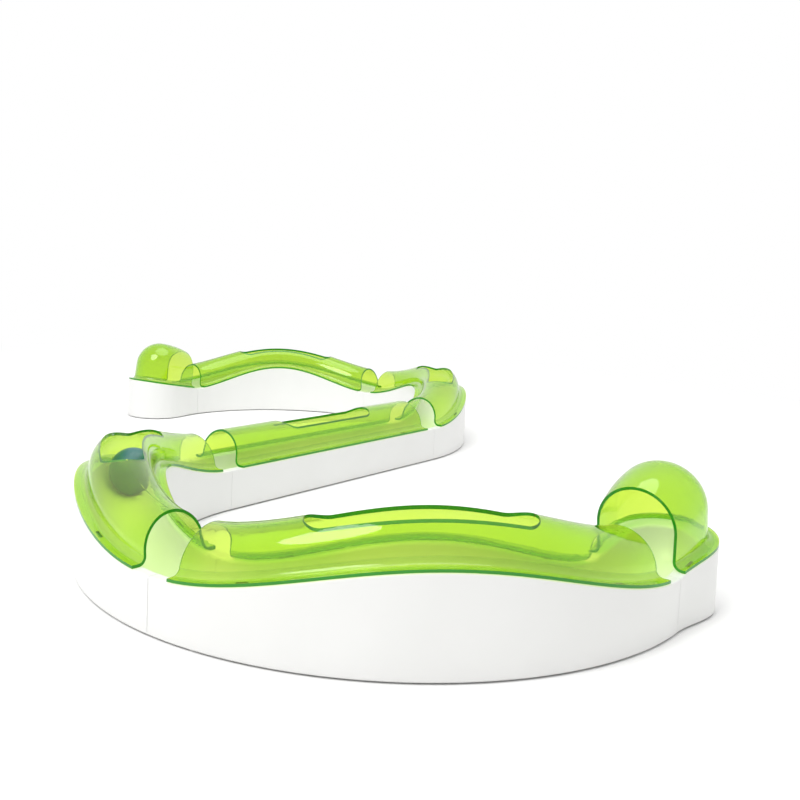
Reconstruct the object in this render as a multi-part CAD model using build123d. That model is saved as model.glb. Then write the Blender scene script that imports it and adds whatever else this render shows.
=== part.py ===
from build123d import *
import os
from math import atan, cos, degrees, pi, radians, sin, tan

# Cat ball track: seven click-together track modules in an S, a clear cover on each, one ball inside.
# Millimetres. The origin is on the floor under the middle of the straight module, +Z is up,
# and the front curve of the S faces -Y.

# Driving dimensions: layout
bend_radius = 208.0
bend_angle = 90.0
straight_length = 336.0
straight_heading = 45.0
joint_gap = 0.2

# Driving dimensions: bases
track_width = 68.0
rim_height = 38.0
hill_rise = 27.0
trough_width = 48.0
trough_depth = 27.0
base_wall = 2.2
rim_round = 1.2
trough_round = 2.4
foot_chamfer = 1.0

# Driving dimensions: end modules
end_length = 50.0
end_width = 80.0
end_tilt = 10.0

# Driving dimensions: covers
cover_wall = 2.0
arch_width = 49.0
flare_radius = 4.5
seat_gap = 0.3
paw_gap = 28.0
mouth_lean = 10.0
window_length = 143.0
window_width = 31.0
window_corner = 15.0
window_shift = 8.0

# Driving dimensions: hoods
hood_setback = 7.0
hood_lean = 5.0
mouth_width = 55.0
mouth_crown = 51.5
dome_width = 65.0
dome_crown = 57.5

# Driving dimensions: locating pegs of the covers
peg_length = 8.0
peg_thickness = 2.0
peg_depth = 5.0
peg_clearance = 0.3
peg_setback = 60.0
hood_peg_setback = 20.0

# Driving dimensions: click joint between two modules
tongue_width = 11.0
tongue_thickness = 2.6
tongue_reach = 9.0
tongue_offset = 20.0
tongue_height = 5.0
nub_height = 1.5
nub_length = 2.0
click_clearance = 0.3

# Driving dimensions: foot pads
pad_diameter = 6.0
pad_thickness = 2.6
pad_stand = 1.0
pad_post_wall = 1.2
pad_fit = 0.1
pad_setback = 32.0

# Driving dimensions: ball
ball_diameter = 40.0
ball_wall = 2.0
ball_lap = 2.0
ball_fit = 0.15
ball_share = 0.38
ball_float = 0.3

# Values worked out from the driving dimensions
half_track = track_width / 2
half_end = end_width / 2
trough_radius = trough_width / 2
trough_side = trough_depth - trough_radius
arc_length = bend_radius * radians(bend_angle)
flange_top = seat_gap + cover_wall
spring_line = flange_top + flare_radius
cover_crown = spring_line + arch_width / 2
ball_radius = ball_diameter / 2
curve_steps = 8
end_steps = 4


def smooth_step(share):
    """Rise from 0 to 1 that starts and ends level."""
    return share * share * (3 - 2 * share)


def hill(share):
    """Rim height along a curved module: level at both ends, highest at the middle."""
    return rim_height + hill_rise * (1 - cos(2 * pi * share)) / 2


# Stations: vertical planes across the track, with local x across it and y up from the rim

def curve_station(share):
    """Station on a curved module, whose centre line turns about the origin from the +X axis."""
    turn = radians(bend_angle * share)
    across = Vector(cos(turn), sin(turn), 0)
    centre = bend_radius * across + Vector(0, 0, hill(share))
    return Plane(origin=centre, x_dir=across, z_dir=across.cross(Vector(0, 0, 1)))


def line_station(distance, rim):
    """Station on a module that runs along +X."""
    return Plane(origin=(distance, 0, rim), x_dir=(0, 1, 0), z_dir=(1, 0, 0))


def end_half_width(distance):
    """Half the width over the rims of an end module, which swells towards its round end."""
    return half_track + (half_end - half_track) * smooth_step(distance / end_length)


# Sections

def both_sides(edges):
    """Close a right-hand outline, drawn from axis to axis, with its mirror image."""
    return make_face(edges + [mirror(edge, about=Plane.YZ) for edge in edges])


def trough_edges():
    """Right half of the trough's inside, from its floor to the rim."""
    return [
        CenterArc((0, -trough_side), trough_radius, -90, 90),
        Line((trough_radius, -trough_side), (trough_radius, -trough_round)),
        CenterArc((trough_radius + trough_round, -trough_round), trough_round, 90, 90),
    ]


def base_outline(half_width, rim):
    """Right half of a base's section: trough, rim and skirt, from the trough's inside to its underside."""
    floor = pad_stand - rim
    inside = half_width - base_wall
    return trough_edges() + [
        Line((trough_radius + trough_round, 0), (half_width - rim_round, 0)),
        CenterArc((half_width - rim_round, -rim_round), rim_round, 0, 90),
        Line((half_width, -rim_round), (half_width, floor + foot_chamfer)),
        Line((half_width, floor + foot_chamfer), (half_width - foot_chamfer, floor)),
        Line((half_width - foot_chamfer, floor), (inside, floor)),
        Line((inside, floor), (inside, -base_wall)),
        Line((inside, -base_wall), (trough_radius + base_wall, -base_wall)),
        Line((trough_radius + base_wall, -base_wall), (trough_radius + base_wall, -trough_side)),
        CenterArc((0, -trough_side), trough_radius + base_wall, -90, 90),
    ]


def cover_outline(half_width, arch_half, crown):
    """Right half of a cover's section: arch, concave flare and flange, from its outside to its inside."""
    top = crown - arch_half
    flare_centre = (arch_half + flare_radius, spring_line)
    inner_half = arch_half - cover_wall
    inner_flare = flare_radius + cover_wall
    edges = [
        CenterArc((0, top), arch_half, 0, 90),
        CenterArc(flare_centre, flare_radius, 180, 90),
        Line((arch_half + flare_radius, flange_top), (half_width, flange_top)),
        Line((half_width, flange_top), (half_width, seat_gap)),
        Line((half_width, seat_gap), (arch_half + flare_radius, seat_gap)),
        CenterArc(flare_centre, inner_flare, 180, 90),
        CenterArc((0, top), inner_half, 0, 90),
    ]
    if top > spring_line:
        edges.insert(1, Line((arch_half, top), (arch_half, spring_line)))
        edges.insert(7, Line((inner_half, spring_line), (inner_half, top)))
    return edges


def revolved_end(outline, top, bottom):
    """Half turn of a section's right half about the axis at the centre of an end module's round end."""
    profile = make_face(outline + [Line((0, top), (0, bottom))])
    standing = line_station(end_length, 0) * profile
    return revolve(standing, axis=Axis((end_length, 0, 0), (0, 0, -1)), revolution_arc=180)


# Fittings

def box_between(low, high):
    """Box from its lowest to its highest corner."""
    size = [b - a for a, b in zip(low, high)]
    return Pos(*low) * Box(*size, align=(Align.MIN, Align.MIN, Align.MIN))


def end_wall():
    """Upright wall that closes a base's section under the trough. Local +Y leads out of the module."""
    seat = base_wall / 2
    inner, outer = trough_radius + seat, half_track - seat
    section = both_sides([
        CenterArc((0, rim_height - trough_side), inner, -90, 90),
        Line((inner, rim_height - trough_side), (inner, rim_height - seat)),
        Line((inner, rim_height - seat), (outer, rim_height - seat)),
        Line((outer, rim_height - seat), (outer, pad_stand)),
        Line((outer, pad_stand), (0, pad_stand)),
    ])
    return extrude(Plane.XZ * section, amount=base_wall, dir=(0, -1, 0))


def tongue():
    """Spring tongue that clicks into the next module, with its nub behind that module's end wall."""
    near, far = tongue_offset - tongue_width / 2, tongue_offset + tongue_width / 2
    bar = box_between((near, -base_wall, tongue_height),
                      (far, tongue_reach, tongue_height + tongue_thickness))
    nub_start = joint_gap + base_wall + click_clearance
    wedge = make_face(Polyline((nub_start, tongue_height), (nub_start, tongue_height - nub_height),
                               (nub_start + nub_length, tongue_height), close=True))
    return bar + extrude(Plane.YZ.offset(near) * wedge, amount=tongue_width)


def tongue_window():
    """Hole in an end wall for the next module's tongue, with headroom for the nub to spring past."""
    near = -tongue_offset - tongue_width / 2 - click_clearance
    far = -tongue_offset + tongue_width / 2 + click_clearance
    top = tongue_height + tongue_thickness + nub_height + click_clearance
    return box_between((near, -2 * base_wall, tongue_height - click_clearance), (far, base_wall, top))


def post_places(station, half_width):
    """Points at rim height on both sides of a station, midway between trough and skirt."""
    across = (trough_radius + half_width) / 2
    return [station.from_local_coords((side * across, 0, 0)) for side in (1, -1)]


def upright(point, bottom, top, radius):
    """Upright cylinder at a point, between two heights."""
    stand = Cylinder(radius, top - bottom, align=(Align.CENTER, Align.CENTER, Align.MIN))
    return Pos(point.X, point.Y, bottom) * stand


def pad_post(point):
    """Post inside the skirt that carries a foot pad."""
    return upright(point, pad_stand, point.Z - base_wall / 2, pad_diameter / 2 + pad_post_wall)


def pad_recess(point):
    """Recess in the foot of a post."""
    return upright(point, 0, pad_thickness, pad_diameter / 2 + pad_fit)


def foot_pad(point):
    """Foot pad, which fills its recess and stands proud of the post."""
    return upright(point, 0, pad_thickness, pad_diameter / 2)


def cover_peg(station, across, growth=0.0):
    """Locating pegs under both flanges of a cover or, grown by a clearance, their slots in the rim."""
    top = seat_gap + cover_wall / 2
    size = (peg_thickness + 2 * growth, peg_depth + top + growth, peg_length + 2 * growth)
    peg = Box(*size, align=(Align.CENTER, Align.MIN, Align.CENTER))
    places = [Pos(side * across, -peg_depth - growth, 0) for side in (1, -1)]
    return [station.location * place * peg for place in places]


def lean_cutter(half_width, crown, lean):
    """Block that trims a cover's end so that its arch leans back. Local +Y leads out of the cover."""
    size = 2 * (half_width + crown)
    block = Box(size, size, size, align=(Align.CENTER, Align.MIN, Align.CENTER))
    return Pos(0, 0, seat_gap) * Rot(lean, 0, 0) * block


def curve_frame(share, height, forward):
    """Place at a share of a curved module, with local +Y along the track, forward or back."""
    turn = bend_angle * share
    place = (bend_radius * cos(radians(turn)), bend_radius * sin(radians(turn)), height)
    return Location(place, (0, 0, turn if forward else turn + 180))


def line_frame(distance, height, forward):
    """Place on a module that runs along +X, with local +Y along the track, forward or back."""
    return Location((distance, 0, height), (0, 0, -90 if forward else 90))


def fitted(base, end_frames, posts, slots):
    """Base with its end walls, click joints, pad posts and slots for the cover's pegs."""
    wall = end_wall() + tongue()
    base += [frame * wall for frame in end_frames] + [pad_post(point) for point in posts]
    cuts = [frame * tongue_window() for frame in end_frames]
    return base - (cuts + [pad_recess(point) for point in posts] + slots)


# Curved module

def all_pegs(stations, growth=0.0):
    """Pegs of a cover at several stations, or their slots."""
    across = arch_width / 2 + flare_radius + peg_thickness / 2
    return [peg for station in stations for peg in cover_peg(station, across, growth)]


peg_share = peg_setback / arc_length
curve_peg_stations = [curve_station(share) for share in (peg_share, 1 - peg_share)]
curve_posts = [
    point
    for share in (pad_setback / arc_length, 1 - pad_setback / arc_length)
    for point in post_places(curve_station(share), half_track)
]


def spread(first, last, steps):
    """Evenly spread values from first to last."""
    return [first + (last - first) * step / steps for step in range(steps + 1)]


def make_curve_base():
    end_share = joint_gap / 2 / arc_length
    shell = loft([
        curve_station(share) * both_sides(base_outline(half_track, hill(share)))
        for share in spread(end_share, 1 - end_share, curve_steps)
    ])
    frames = [curve_frame(end_share, 0, False), curve_frame(1 - end_share, 0, True)]
    return fitted(shell, frames, curve_posts, all_pegs(curve_peg_stations, peg_clearance))


def make_curve_cover():
    end_share = paw_gap / 2 / arc_length
    shell = loft([
        curve_station(share) * both_sides(cover_outline(half_track, arch_width / 2, cover_crown))
        for share in spread(end_share, 1 - end_share, curve_steps)
    ])
    cutter = lean_cutter(half_track, cover_crown, mouth_lean)
    shell -= curve_frame(end_share, hill(end_share), False) * cutter
    shell -= curve_frame(1 - end_share, hill(1 - end_share), True) * cutter
    sweep_angle = degrees(window_length / bend_radius)
    first = (bend_angle - sweep_angle) / 2 - degrees(window_shift / bend_radius)
    inner = CenterArc((0, 0), bend_radius - window_width / 2, first, sweep_angle)
    outer = CenterArc((0, 0), bend_radius + window_width / 2, first, sweep_angle)
    window = make_face([inner, outer, Line(inner @ 0, outer @ 0), Line(inner @ 1, outer @ 1)])
    window = fillet(window.vertices(), window_corner)
    window_height = hill(0.5) + cover_crown + cover_wall - rim_height
    shell -= extrude(Pos(0, 0, rim_height) * window, amount=window_height, dir=(0, 0, 1))
    return shell + all_pegs(curve_peg_stations)


# Straight module

straight_half = (straight_length - joint_gap) / 2
straight_peg_stations = [
    line_station(side * (straight_length / 2 - peg_setback), rim_height) for side in (1, -1)
]
straight_post_stations = [
    line_station(side * (straight_length / 2 - pad_setback), rim_height) for side in (1, -1)
]
straight_posts = [
    point for station in straight_post_stations for point in post_places(station, half_track)
]


def make_straight_base():
    section = line_station(-straight_half, rim_height) * both_sides(base_outline(half_track, rim_height))
    shell = extrude(section, amount=2 * straight_half, dir=(1, 0, 0))
    frames = [line_frame(-straight_half, 0, False), line_frame(straight_half, 0, True)]
    return fitted(shell, frames, straight_posts, all_pegs(straight_peg_stations, peg_clearance))


def make_straight_cover():
    half_length = (straight_length - paw_gap) / 2
    section = both_sides(cover_outline(half_track, arch_width / 2, cover_crown))
    shell = extrude(line_station(-half_length, rim_height) * section, amount=2 * half_length, dir=(1, 0, 0))
    cutter = lean_cutter(half_track, cover_crown, mouth_lean)
    shell -= line_frame(half_length, rim_height, True) * cutter
    shell -= line_frame(-half_length, rim_height, False) * cutter
    window = RectangleRounded(window_length, window_width, window_corner)
    shell -= extrude(Pos(0, 0, rim_height) * window, amount=cover_crown + cover_wall, dir=(0, 0, 1))
    return shell + all_pegs(straight_peg_stations)


# End module, which runs from its joint at the origin along +X, with its rim on a ramp

ramp = Location((0, 0, rim_height), (0, -end_tilt, 0))
end_reach = end_length * cos(radians(end_tilt))


def ramp_point(distance, across):
    """Point of the ramp above a place on the floor."""
    return Vector(distance, across, rim_height + distance * tan(radians(end_tilt)))


end_post_across = (trough_radius + end_half_width(pad_setback)) / 2
end_posts = [
    ramp_point(pad_setback, end_post_across),
    ramp_point(pad_setback, -end_post_across),
    ramp_point(end_reach + (trough_radius + half_end) / 2, 0),
]
hood_peg_station = line_station(hood_peg_setback, 0)
hood_peg_across = end_half_width(hood_peg_setback) - base_wall - peg_thickness / 2 - 2 * peg_clearance


def end_block(start, margin, drop):
    """Block under the ramp with swelling sides and a round end, drawn in and lowered by margins."""
    corner, half = half_track - margin, half_end - margin
    plan = make_face([
        Line((start, -corner), (start, corner)),
        Spline((start, corner), (end_reach, half), tangents=[(1, 0), (1, 0)]),
        ThreePointArc((end_reach, half), (end_reach + half, 0), (end_reach, -half)),
        Spline((end_reach, -half), (start, -corner), tangents=[(-1, 0), (-1, 0)]),
    ])
    highest = ramp_point(end_reach + half_end, 0).Z
    block = extrude(Pos(0, 0, pad_stand) * plan, amount=highest, dir=(0, 0, 1))
    return split(block, bisect_by=Plane(ramp).offset(-drop), keep=Keep.BOTTOM)


def blind_channel(outline, bottom, top):
    """Solid of a section that runs up the ramp and ends in a half turn."""
    lead = half_track
    run = extrude(line_station(-lead, 0) * both_sides(outline), amount=end_length + lead, dir=(1, 0, 0))
    return ramp * (run + revolved_end(outline, top, bottom))


def make_end_base():
    block = end_block(joint_gap / 2, 0, 0)
    block = fillet(outer_edges(block, -1), rim_round)
    block = chamfer(outer_edges(block, 0), foot_chamfer)
    edge = trough_radius + trough_round
    trough = trough_edges() + [Line((edge, 0), (edge, base_wall)), Line((edge, base_wall), (0, base_wall))]
    under, top = trough_radius + base_wall, -base_wall / 2
    casing = [
        CenterArc((0, -trough_side), under, -90, 90),
        Line((under, -trough_side), (under, top)),
        Line((under, top), (0, top)),
    ]
    hollow = end_block(-base_wall, base_wall, base_wall)
    hollow -= blind_channel(casing, -trough_depth - base_wall, top)
    shell = block - hollow - blind_channel(trough, -trough_depth, base_wall)
    slots = [ramp * slot for slot in cover_peg(hood_peg_station, hood_peg_across, peg_clearance)]
    return fitted(shell, [line_frame(joint_gap / 2, 0, False)], end_posts, slots)


def outer_edges(block, place):
    """Edges of an end block's lowest (0) or highest (-1) face that don't lie at its joint."""
    face = block.faces().sort_by(Axis.Z)[place]
    return [edge for edge in face.edges() if edge.center().X > joint_gap]


def hood_form(distance):
    """Half width and crown of a hood, which swells from its mouth to the middle of its dome."""
    share = (distance - hood_setback) / (end_length - hood_setback)
    growth = share * (2 - share)
    arch_half = (mouth_width + (dome_width - mouth_width) * growth) / 2
    return arch_half, mouth_crown + (dome_crown - mouth_crown) * growth


def make_end_hood():
    shell = loft([
        line_station(distance, 0) * both_sides(cover_outline(end_half_width(distance), *hood_form(distance)))
        for distance in spread(hood_setback, end_length, end_steps)
    ])
    outline = cover_outline(half_end, dome_width / 2, dome_crown)
    shell += revolved_end(outline, dome_crown, dome_crown - cover_wall)
    shell -= line_frame(hood_setback, 0, False) * lean_cutter(half_end, dome_crown, hood_lean)
    return ramp * (shell + cover_peg(hood_peg_station, hood_peg_across))


# Ball

def ball_centre():
    """Rest place of the ball in a curved module: on the trough's floor, on the flank of the hill."""
    slope = hill_rise * pi * sin(2 * pi * ball_share) / arc_length
    lift = ball_radius / cos(atan(slope)) + ball_float
    return curve_station(ball_share).from_local_coords((0, lift - trough_depth, 0))


def make_ball_halves():
    """Two hollow halves, with a lip on the upper one that fits into the lower one."""
    shell = Sphere(ball_radius) - Sphere(ball_radius - ball_wall)
    above = box_between((-ball_radius, -ball_radius, 0), (ball_radius, ball_radius, ball_radius))
    step = ball_radius - ball_wall / 2
    lip = upright(Vector(0, 0, 0), -ball_lap, 0, step - ball_fit / 2)
    rebate = upright(Vector(0, 0, 0), -ball_lap - ball_fit, 0, step + ball_fit / 2)
    return shell - above - rebate, (shell & above) + (shell & lip)


# Layout of the S, which turns onto itself about the origin

def along(heading, distance):
    """Vector of a length in a direction on the floor."""
    return Vector(distance * cos(radians(heading)), distance * sin(radians(heading)), 0)


straight_end = along(straight_heading, straight_length / 2)
rear_centre = straight_end + along(straight_heading + 90, bend_radius)
front_centre = -rear_centre
curve_places = {
    "front": Location(front_centre, (0, 0, straight_heading + 90 + bend_angle)),
    "left": Location(front_centre, (0, 0, straight_heading + 90)),
    "right": Location(rear_centre, (0, 0, straight_heading - 90)),
    "rear": Location(rear_centre, (0, 0, straight_heading - 90 + bend_angle)),
}
last_turn = straight_heading + 90 + 2 * bend_angle
end_places = {
    "front": Location(front_centre + along(last_turn, bend_radius), (0, 0, last_turn + 90)),
    "rear": Location(rear_centre + along(last_turn + 180, bend_radius), (0, 0, last_turn - 90)),
}
straight_place = Location((0, 0, 0), (0, 0, straight_heading))


def main():
    nodes = {}
    curve_parts = make_curve_base(), make_curve_cover(), Compound([foot_pad(point) for point in curve_posts])
    for name, place in curve_places.items():
        for kind, part in zip(("base", "cover", "pads"), curve_parts):
            nodes[f"{name}_curve_{kind}"] = place * part
    end_parts = make_end_base(), make_end_hood(), Compound([foot_pad(point) for point in end_posts])
    for name, place in end_places.items():
        for kind, part in zip(("base", "hood", "pads"), end_parts):
            nodes[f"{name}_end_{kind}"] = place * part
    nodes["straight_base"] = straight_place * make_straight_base()
    nodes["straight_cover"] = straight_place * make_straight_cover()
    nodes["straight_pads"] = straight_place * Compound([foot_pad(point) for point in straight_posts])
    ball_place = curve_places["left"] * Pos(*ball_centre())
    for name, half in zip(("ball_lower_half", "ball_upper_half"), make_ball_halves()):
        nodes[name] = ball_place * half
    os.makedirs("parts", exist_ok=True)
    for name, shape in nodes.items():
        export_step(shape, f"parts/{name}.step")


main()
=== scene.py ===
from math import pi

import bpy
import numpy as np
from mathutils import Matrix, Vector

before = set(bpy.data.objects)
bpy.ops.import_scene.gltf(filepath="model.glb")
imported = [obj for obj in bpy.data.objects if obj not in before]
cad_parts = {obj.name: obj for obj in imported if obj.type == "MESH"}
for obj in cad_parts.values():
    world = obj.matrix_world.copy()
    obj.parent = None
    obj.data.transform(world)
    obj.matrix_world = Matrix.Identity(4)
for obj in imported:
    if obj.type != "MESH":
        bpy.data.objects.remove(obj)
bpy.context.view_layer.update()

# Cat ball track on a pale floor. Metres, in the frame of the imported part.

# Camera, fitted to the photograph's 800 pixel frame
PHOTO_SIZE = 800
FOCAL_PIXELS = 957.89
SENSOR_WIDTH = 36.0
CAMERA_PLACE = (-0.09010, -1.01957, 0.23817)
CAMERA_YAW = 0.1031
CAMERA_PITCH = 0.0862
CAMERA_ROLL = 0.0382
CAMERA_SHIFT = (0.075, -0.075)

# Light
WORLD_STRENGTH = 0.64
BACKDROP_STRENGTH = 1.0
KEY_PLACE = (-1.3, -1.2, 2.2)
KEY_SIZE = 1.6
KEY_POWER = 37.0
TOP_PLACE = (0.2, 0.2, 2.4)
TOP_SIZE = 2.2
TOP_POWER = 26.0
FLOOR_SIZE = 30.0
FLOOR_SHADES = (0.925, 0.925, 0.92), (0.95, 0.95, 0.945)
FLOOR_FADE = 0.55, 1.1

# Clear green plastic: its tint, the light that gets through each face, and what the wall soaks up
CLEAR_SHADES = (0.82, 0.88, 0.13), (0.86, 0.91, 0.17)
# The edge colour below is painted shade: the dark green that light running a long way through the
# plastic gives its cut edges. The second clear share lets that painted shade show as matt colour.
CLEAR_PAINTED_EDGE_SHADE = (0.035, 0.36, 0.02)
CLEAR_LIGHT = (0.93, 0.96, 0.72, 1.0)
CLEAR_SHARE = 0.97, 0.35
CLEAR_INDEX = 1.49
ABSORPTION_DENSITY = 220.0
ABSORPTION_COLOUR = (0.35, 0.82, 0.0, 1.0)

# Faces of the clear mouldings that get painted shade, the darker green that long light paths through
# the plastic give them: cut wall edges, pegs and tight bends
EDGE_WIDTH = 0.0036
PEG_SIZE = 0.012
PEG_PAINTED_SHADE_SHARE = 0.15
BEND_WIDTHS = 0.0062, 0.0088
BEND_PAINTED_SHADE_SHARE = 0.4


class Nodes:
    """Short calls to build one material's node tree."""

    def __init__(self, name):
        self.material = bpy.data.materials.new(name)
        self.material.use_nodes = True
        self.tree = self.material.node_tree
        self.shader = self.tree.nodes["Principled BSDF"]
        self.output = self.tree.nodes["Material Output"]
        self.place = self.add("ShaderNodeTexCoord").outputs["Object"]

    def add(self, kind, **settings):
        node = self.tree.nodes.new(kind)
        for key, value in settings.items():
            setattr(node, key, value)
        return node

    def link(self, source, target):
        self.tree.links.new(source, target)

    def noise(self, scale, detail=2.0, roughness=0.5):
        """Noise over the object, with that many lumps to a metre."""
        node = self.add("ShaderNodeTexNoise")
        node.inputs["Scale"].default_value = scale
        node.inputs["Detail"].default_value = detail
        node.inputs["Roughness"].default_value = roughness
        self.link(self.place, node.inputs["Vector"])
        return node.outputs["Fac"]

    def fit(self, value, first, last, low, high):
        """A value between two limits laid over a range."""
        node = self.add("ShaderNodeMapRange")
        node.inputs["From Min"].default_value = first
        node.inputs["From Max"].default_value = last
        node.inputs["To Min"].default_value = low
        node.inputs["To Max"].default_value = high
        self.link(value, node.inputs["Value"])
        return node.outputs["Result"]

    def spread(self, value, low, high):
        """The middle of a noise stretched over a range."""
        return self.fit(value, 0.3, 0.7, low, high)

    def shades(self, value, *colours):
        """Colours run through by a value from 0 to 1."""
        node = self.add("ShaderNodeValToRGB")
        ramp = node.color_ramp.elements
        while len(ramp) < len(colours):
            ramp.new(0.5)
        for step, (element, colour) in enumerate(zip(ramp, colours)):
            element.position = 0.3 + 0.4 * step / (len(colours) - 1)
            element.color = (*colour, 1.0)
        self.link(value, node.inputs["Fac"])
        return node.outputs["Color"]

    def bump(self, height, depth, strength, under=None):
        """Bump of a depth in metres, over another one or over a soft edge."""
        node = self.add("ShaderNodeBump")
        node.inputs["Strength"].default_value = strength
        node.inputs["Distance"].default_value = depth
        self.link(height, node.inputs["Height"])
        if under:
            self.link(under, node.inputs["Normal"])
        return node.outputs["Normal"]

    def soft_edge(self, radius):
        """Normals that round off edges, as a moulding's edges are."""
        node = self.add("ShaderNodeBevel", samples=6)
        node.inputs["Radius"].default_value = radius
        return node.outputs["Normal"]

    def blend(self, share, colour, other):
        """A colour that gives way to another one by a share."""
        node = self.add("ShaderNodeMix", data_type="RGBA")
        factor, first, second = (node.inputs[place] for place in (0, 6, 7))
        self.link(share, factor)
        self.link(colour, first)
        second.default_value = (*other, 1.0)
        return node.outputs[2]

    def set(self, **values):
        for key, value in values.items():
            self.shader.inputs[key.replace("_", " ")].default_value = value

    def drive(self, **sockets):
        for key, socket in sockets.items():
            self.link(socket, self.shader.inputs[key.replace("_", " ")])


def white_plastic():
    """Satin white moulding: faint mottling, fine spark grain and rubbed patches."""
    n = Nodes("white_plastic")
    tone = n.shades(n.noise(14, 4), (0.800, 0.800, 0.785), (0.825, 0.825, 0.812))
    gloss = n.spread(n.noise(70, 5, 0.6), 0.30, 0.42)
    normal = n.bump(n.noise(160, 2), 0.00006, 0.25, n.soft_edge(0.0007))
    normal = n.bump(n.noise(2600, 2), 0.00003, 0.18, normal)
    n.drive(Base_Color=tone, Roughness=gloss, Normal=normal)
    n.set(IOR=1.5)
    return n.material


def clear_green():
    """Polished clear lime plastic: it tints by the length of wall that light goes through, with painted
    dark green shade on its marked edges.
    """
    n = Nodes("clear_green")
    gloss = n.spread(n.noise(90, 4, 0.6), 0.02, 0.07)
    normal = n.bump(n.noise(45, 2), 0.0004, 0.10)
    # Painted shade: faces marked at the cut edges, pegs and bends turn dark green and less clear.
    painted_edge_shade = n.add("ShaderNodeAttribute", attribute_name="painted_edge_shade").outputs["Fac"]
    tone = n.blend(painted_edge_shade, n.shades(n.noise(12, 3), *CLEAR_SHADES), CLEAR_PAINTED_EDGE_SHADE)
    clear = n.fit(painted_edge_shade, 0.0, 1.0, *CLEAR_SHARE)
    n.drive(Base_Color=tone, Roughness=gloss, Normal=normal, Transmission_Weight=clear)
    n.set(IOR=CLEAR_INDEX)
    body = n.add("ShaderNodeVolumeAbsorption")
    body.inputs["Color"].default_value = ABSORPTION_COLOUR
    body.inputs["Density"].default_value = ABSORPTION_DENSITY
    n.link(body.outputs["Volume"], n.output.inputs["Volume"])
    rays = n.add("ShaderNodeLightPath")
    lit = n.add("ShaderNodeMath", operation="MAXIMUM")
    n.link(rays.outputs["Is Shadow Ray"], lit.inputs[0])
    n.link(rays.outputs["Is Diffuse Ray"], lit.inputs[1])
    open_way = n.add("ShaderNodeBsdfTransparent")
    open_way.inputs["Color"].default_value = CLEAR_LIGHT
    mix = n.add("ShaderNodeMixShader")
    n.link(lit.outputs["Value"], mix.inputs["Fac"])
    n.link(n.shader.outputs["BSDF"], mix.inputs[1])
    n.link(open_way.outputs["BSDF"], mix.inputs[2])
    n.link(mix.outputs["Shader"], n.output.inputs["Surface"])
    return n.material


def foot_rubber():
    """Soft pale grey rubber with a dusty grain."""
    n = Nodes("foot_rubber")
    tone = n.shades(n.noise(600, 4), (0.46, 0.46, 0.45), (0.56, 0.56, 0.55))
    gloss = n.spread(n.noise(900, 3), 0.68, 0.86)
    n.drive(Base_Color=tone, Roughness=gloss, Normal=n.bump(n.noise(3000, 2), 0.00005, 0.4))
    return n.material


def ball_plastic():
    """Dark slate blue moulding, scuffed from rolling."""
    n = Nodes("ball_plastic")
    tone = n.shades(n.noise(90, 5, 0.6), (0.015, 0.120, 0.110), (0.030, 0.165, 0.155))
    gloss = n.spread(n.noise(320, 6, 0.7), 0.22, 0.50)
    normal = n.bump(n.noise(700, 4, 0.6), 0.00006, 0.3, n.soft_edge(0.0004))
    n.drive(Base_Color=tone, Roughness=gloss, Normal=normal)
    return n.material


def seen_rays(tree):
    """1 for rays from the camera, a gloss or a clear wall, 0 for rays that carry light."""
    rays = tree.nodes.new("ShaderNodeLightPath")
    value = rays.outputs["Is Camera Ray"]
    for kind in ("Is Glossy Ray", "Is Transmission Ray"):
        either = tree.nodes.new("ShaderNodeMath")
        either.operation = "MAXIMUM"
        tree.links.new(value, either.inputs[0])
        tree.links.new(rays.outputs[kind], either.inputs[1])
        value = either.outputs["Value"]
    return value


def floor_material():
    """Pale matt floor that fades into the white backdrop away from the track."""
    n = Nodes("pale_floor")
    n.drive(Base_Color=n.shades(n.noise(3, 3), *FLOOR_SHADES))
    n.set(Roughness=0.9, Specular_IOR_Level=0.1)
    squeeze = n.add("ShaderNodeMapping")
    squeeze.inputs["Scale"].default_value = (1.0, 0.7, 1.0)
    n.link(n.place, squeeze.inputs["Vector"])
    away = n.add("ShaderNodeVectorMath", operation="LENGTH")
    n.link(squeeze.outputs["Vector"], away.inputs[0])
    fade = n.add("ShaderNodeMapRange", interpolation_type="SMOOTHSTEP")
    fade.inputs["From Min"].default_value = FLOOR_FADE[0]
    fade.inputs["From Max"].default_value = FLOOR_FADE[1]
    n.link(away.outputs["Value"], fade.inputs["Value"])
    share = n.add("ShaderNodeMath", operation="MULTIPLY")
    n.link(fade.outputs["Result"], share.inputs[0])
    n.link(seen_rays(n.tree), share.inputs[1])
    white = n.add("ShaderNodeEmission")
    white.inputs["Strength"].default_value = BACKDROP_STRENGTH
    mix = n.add("ShaderNodeMixShader")
    n.link(share.outputs["Value"], mix.inputs["Fac"])
    n.link(n.shader.outputs["BSDF"], mix.inputs[1])
    n.link(white.outputs["Emission"], mix.inputs[2])
    n.link(mix.outputs["Shader"], n.output.inputs["Surface"])
    return n.material


def make_floor():
    mesh = bpy.data.meshes.new("floor")
    half = FLOOR_SIZE / 2
    corners = [(-half, -half, 0), (half, -half, 0), (half, half, 0), (-half, half, 0)]
    mesh.from_pydata(corners, [], [(0, 1, 2, 3)])
    floor = bpy.data.objects.new("floor", mesh)
    mesh.materials.append(floor_material())
    bpy.context.scene.collection.objects.link(floor)


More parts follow.
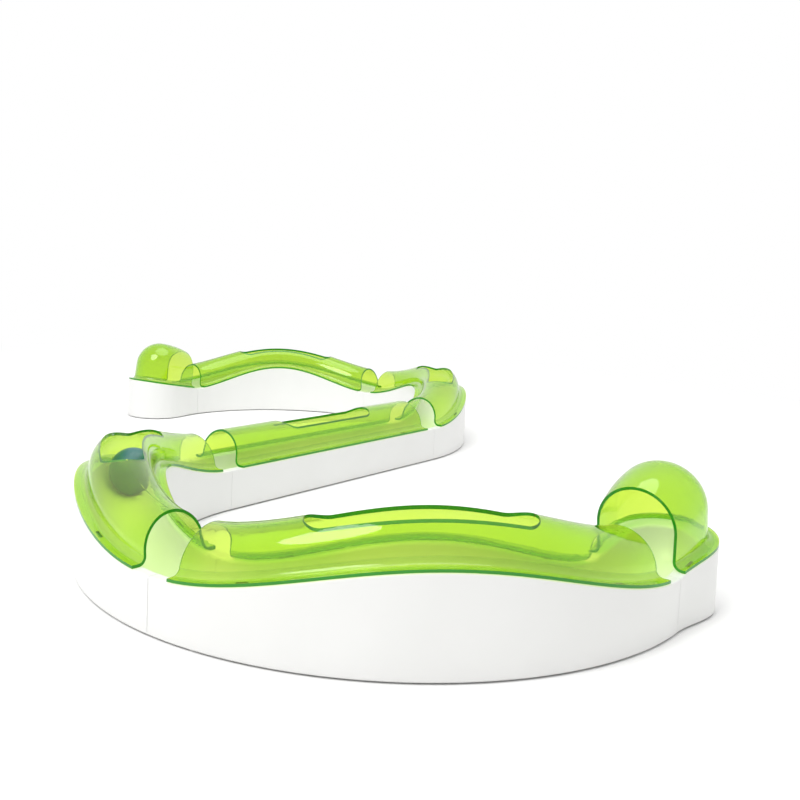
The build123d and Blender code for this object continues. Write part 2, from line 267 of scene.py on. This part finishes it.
def make_world():
    """Even pale light, with a white backdrop for what the camera, gloss and glass see of it."""
    world = bpy.data.worlds.new("studio")
    bpy.context.scene.world = world
    world.use_nodes = True
    tree = world.node_tree
    background = tree.nodes["Background"]
    background.inputs["Color"].default_value = (1, 1, 1, 1)
    background.inputs["Strength"].default_value = WORLD_STRENGTH
    backdrop = tree.nodes.new("ShaderNodeBackground")
    backdrop.inputs["Color"].default_value = (1, 1, 1, 1)
    backdrop.inputs["Strength"].default_value = BACKDROP_STRENGTH
    mix = tree.nodes.new("ShaderNodeMixShader")
    tree.links.new(seen_rays(tree), mix.inputs["Fac"])
    tree.links.new(background.outputs["Background"], mix.inputs[1])
    tree.links.new(backdrop.outputs["Background"], mix.inputs[2])
    tree.links.new(mix.outputs["Shader"], tree.nodes["World Output"].inputs["Surface"])


def soft_lamp(name, place, size, power):
    """Round soft lamp that looks at the middle of the track."""
    data = bpy.data.lights.new(name, "AREA")
    data.shape = "DISK"
    data.size = size
    data.energy = power
    lamp = bpy.data.objects.new(name, data)
    lamp.location = place
    lamp.rotation_mode = "QUATERNION"
    lamp.rotation_quaternion = (-Vector(place)).to_track_quat("-Z", "Y")
    bpy.context.scene.collection.objects.link(lamp)


def make_camera():
    data = bpy.data.cameras.new("camera")
    data.sensor_width = SENSOR_WIDTH
    data.lens = FOCAL_PIXELS / PHOTO_SIZE * SENSOR_WIDTH
    data.clip_start = 0.01
    data.shift_x, data.shift_y = CAMERA_SHIFT
    camera = bpy.data.objects.new("camera", data)
    turn = Matrix.Rotation(-CAMERA_YAW, 4, "Z") @ Matrix.Rotation(pi / 2 - CAMERA_PITCH, 4, "X")
    camera.matrix_world = Matrix.Translation(CAMERA_PLACE) @ turn @ Matrix.Rotation(CAMERA_ROLL, 4, "Z")
    bpy.context.scene.collection.objects.link(camera)
    bpy.context.scene.camera = camera


def mark_painted_edge_shade(mesh):
    """Mark where painted shade goes on a moulding, fully on its cut wall edges and in part on its pegs
    and tight bends, in a face attribute.

    Faces that share corners make up one patch, and a patch is told by its length and mean width."""
    places = np.zeros(3 * len(mesh.vertices))
    mesh.vertices.foreach_get("co", places)
    places = places.reshape(-1, 3)
    corners = np.zeros(3 * len(mesh.polygons), dtype=int)
    mesh.polygons.foreach_get("vertices", corners)
    corners = corners.reshape(-1, 3)
    patch = np.arange(len(places))
    changed = True
    while changed:
        lowest = patch[corners].min(axis=1)
        joined = patch.copy()
        for corner in range(3):
            np.minimum.at(joined, corners[:, corner], lowest)
        joined = joined[joined]
        changed = bool((joined != patch).any())
        patch = joined
    first, second, third = (places[corners[:, corner]] for corner in range(3))
    areas = np.linalg.norm(np.cross(second - first, third - first), axis=1) / 2
    owner = patch[corners[:, 0]]
    marks = np.zeros(len(corners), dtype=np.float32)
    for label in np.unique(owner):
        inside = owner == label
        spots = places[corners[inside].ravel()]
        longest = np.linalg.norm(spots.max(axis=0) - spots.min(axis=0))
        width = areas[inside].sum() / longest
        if longest < PEG_SIZE:
            marks[inside] = PEG_PAINTED_SHADE_SHARE
        elif width < EDGE_WIDTH:
            marks[inside] = 1.0
        elif BEND_WIDTHS[0] < width < BEND_WIDTHS[1]:
            marks[inside] = BEND_PAINTED_SHADE_SHARE
    mesh.attributes.new("painted_edge_shade", "FLOAT", "FACE").data.foreach_set("value", marks)


def dress_nodes():
    """Give every node of the part the finish of its slot."""
    finishes = {
        "white_plastic": white_plastic(),
        "clear_green": clear_green(),
        "foot_rubber": foot_rubber(),
        "ball_plastic": ball_plastic(),
    }
    kinds = {"base": "white_plastic", "cover": "clear_green", "hood": "clear_green",
             "pads": "foot_rubber", "half": "ball_plastic"}
    for name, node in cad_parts.items():
        node.data.materials.clear()
        finish = kinds[name.rsplit("_", 1)[1]]
        node.data.materials.append(finishes[finish])
        if finish == "clear_green":
            # Clear mouldings get the mask for their painted edge shade.
            mark_painted_edge_shade(node.data)


dress_nodes()
make_floor()
make_world()
soft_lamp("key_light", KEY_PLACE, KEY_SIZE, KEY_POWER)
soft_lamp("top_light", TOP_PLACE, TOP_SIZE, TOP_POWER)
make_camera()
bpy.context.scene.view_settings.view_transform = "Standard"

bpy.context.view_layer.update()
